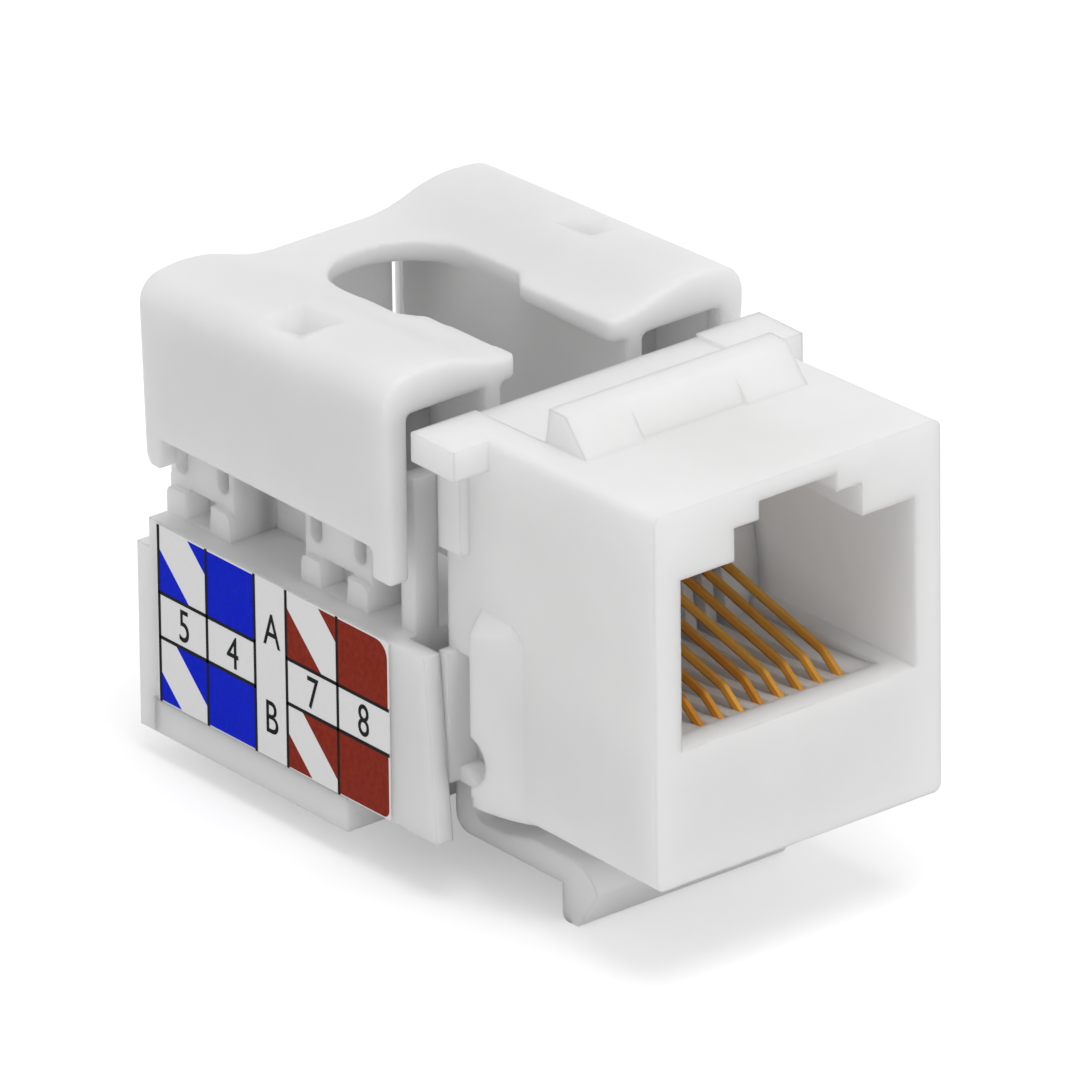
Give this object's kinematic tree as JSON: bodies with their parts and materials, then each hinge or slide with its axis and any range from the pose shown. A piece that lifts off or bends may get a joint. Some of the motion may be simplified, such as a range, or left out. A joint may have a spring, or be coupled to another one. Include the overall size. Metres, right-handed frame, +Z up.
{
  "type": "right-angle punch-down keystone jack with dust cap",
  "caption": "Snap-in modular jack: plug port in front, punch-down towers for the cable's wires behind, under a U-shaped lift-off cap, wiring charts on the sides, springy latch arm below.",
  "frame": {"origin": "middle of the width and depth, level with the tip of the latch tooth, the lowest point", "axes": "+X to the right seen from the port, +Y from the port to the rear, +Z up"},
  "size_m": [0.0184, 0.0312, 0.0224],
  "materials": {
    "housing_plastic": "fine satin",
    "carrier_plastic": "satin",
    "board": "satin",
    "block_plastic": "fine satin",
    "cover_plastic": "fine satin",
    "cap_plastic": "satin",
    "contact_metal": "gold plated",
    "blade_metal": "tin plated",
    "chart_film": "printed"
  },
  "bodies": {
    "jack": {"port_housing": "housing_plastic", "contact_carrier": "carrier_plastic", "circuit_board": "board", "terminal_block": "block_plastic", "base_cover": "cover_plastic", "contact_wire_1": "contact_metal", "contact_wire_2": "contact_metal", "contact_wire_3": "contact_metal", "contact_wire_4": "contact_metal", "contact_wire_5": "contact_metal", "contact_wire_6": "contact_metal", "contact_wire_7": "contact_metal", "contact_wire_8": "contact_metal", "blade_left_1": "blade_metal", "blade_left_2": "blade_metal", "blade_left_3": "blade_metal", "blade_left_4": "blade_metal", "blade_right_1": "blade_metal", "blade_right_2": "blade_metal", "blade_right_3": "blade_metal", "blade_right_4": "blade_metal", "wiring_chart_left": "chart_film", "wiring_chart_right": "chart_film"},
    "cap": {"dust_cap": "cap_plastic"}
  },
  "joints": [
    {"name": "cap_lift", "type": "slide", "parent": "jack", "child": "cap", "axis": [0, 0, 1], "range_m": [0, 0.012]}
  ]
}
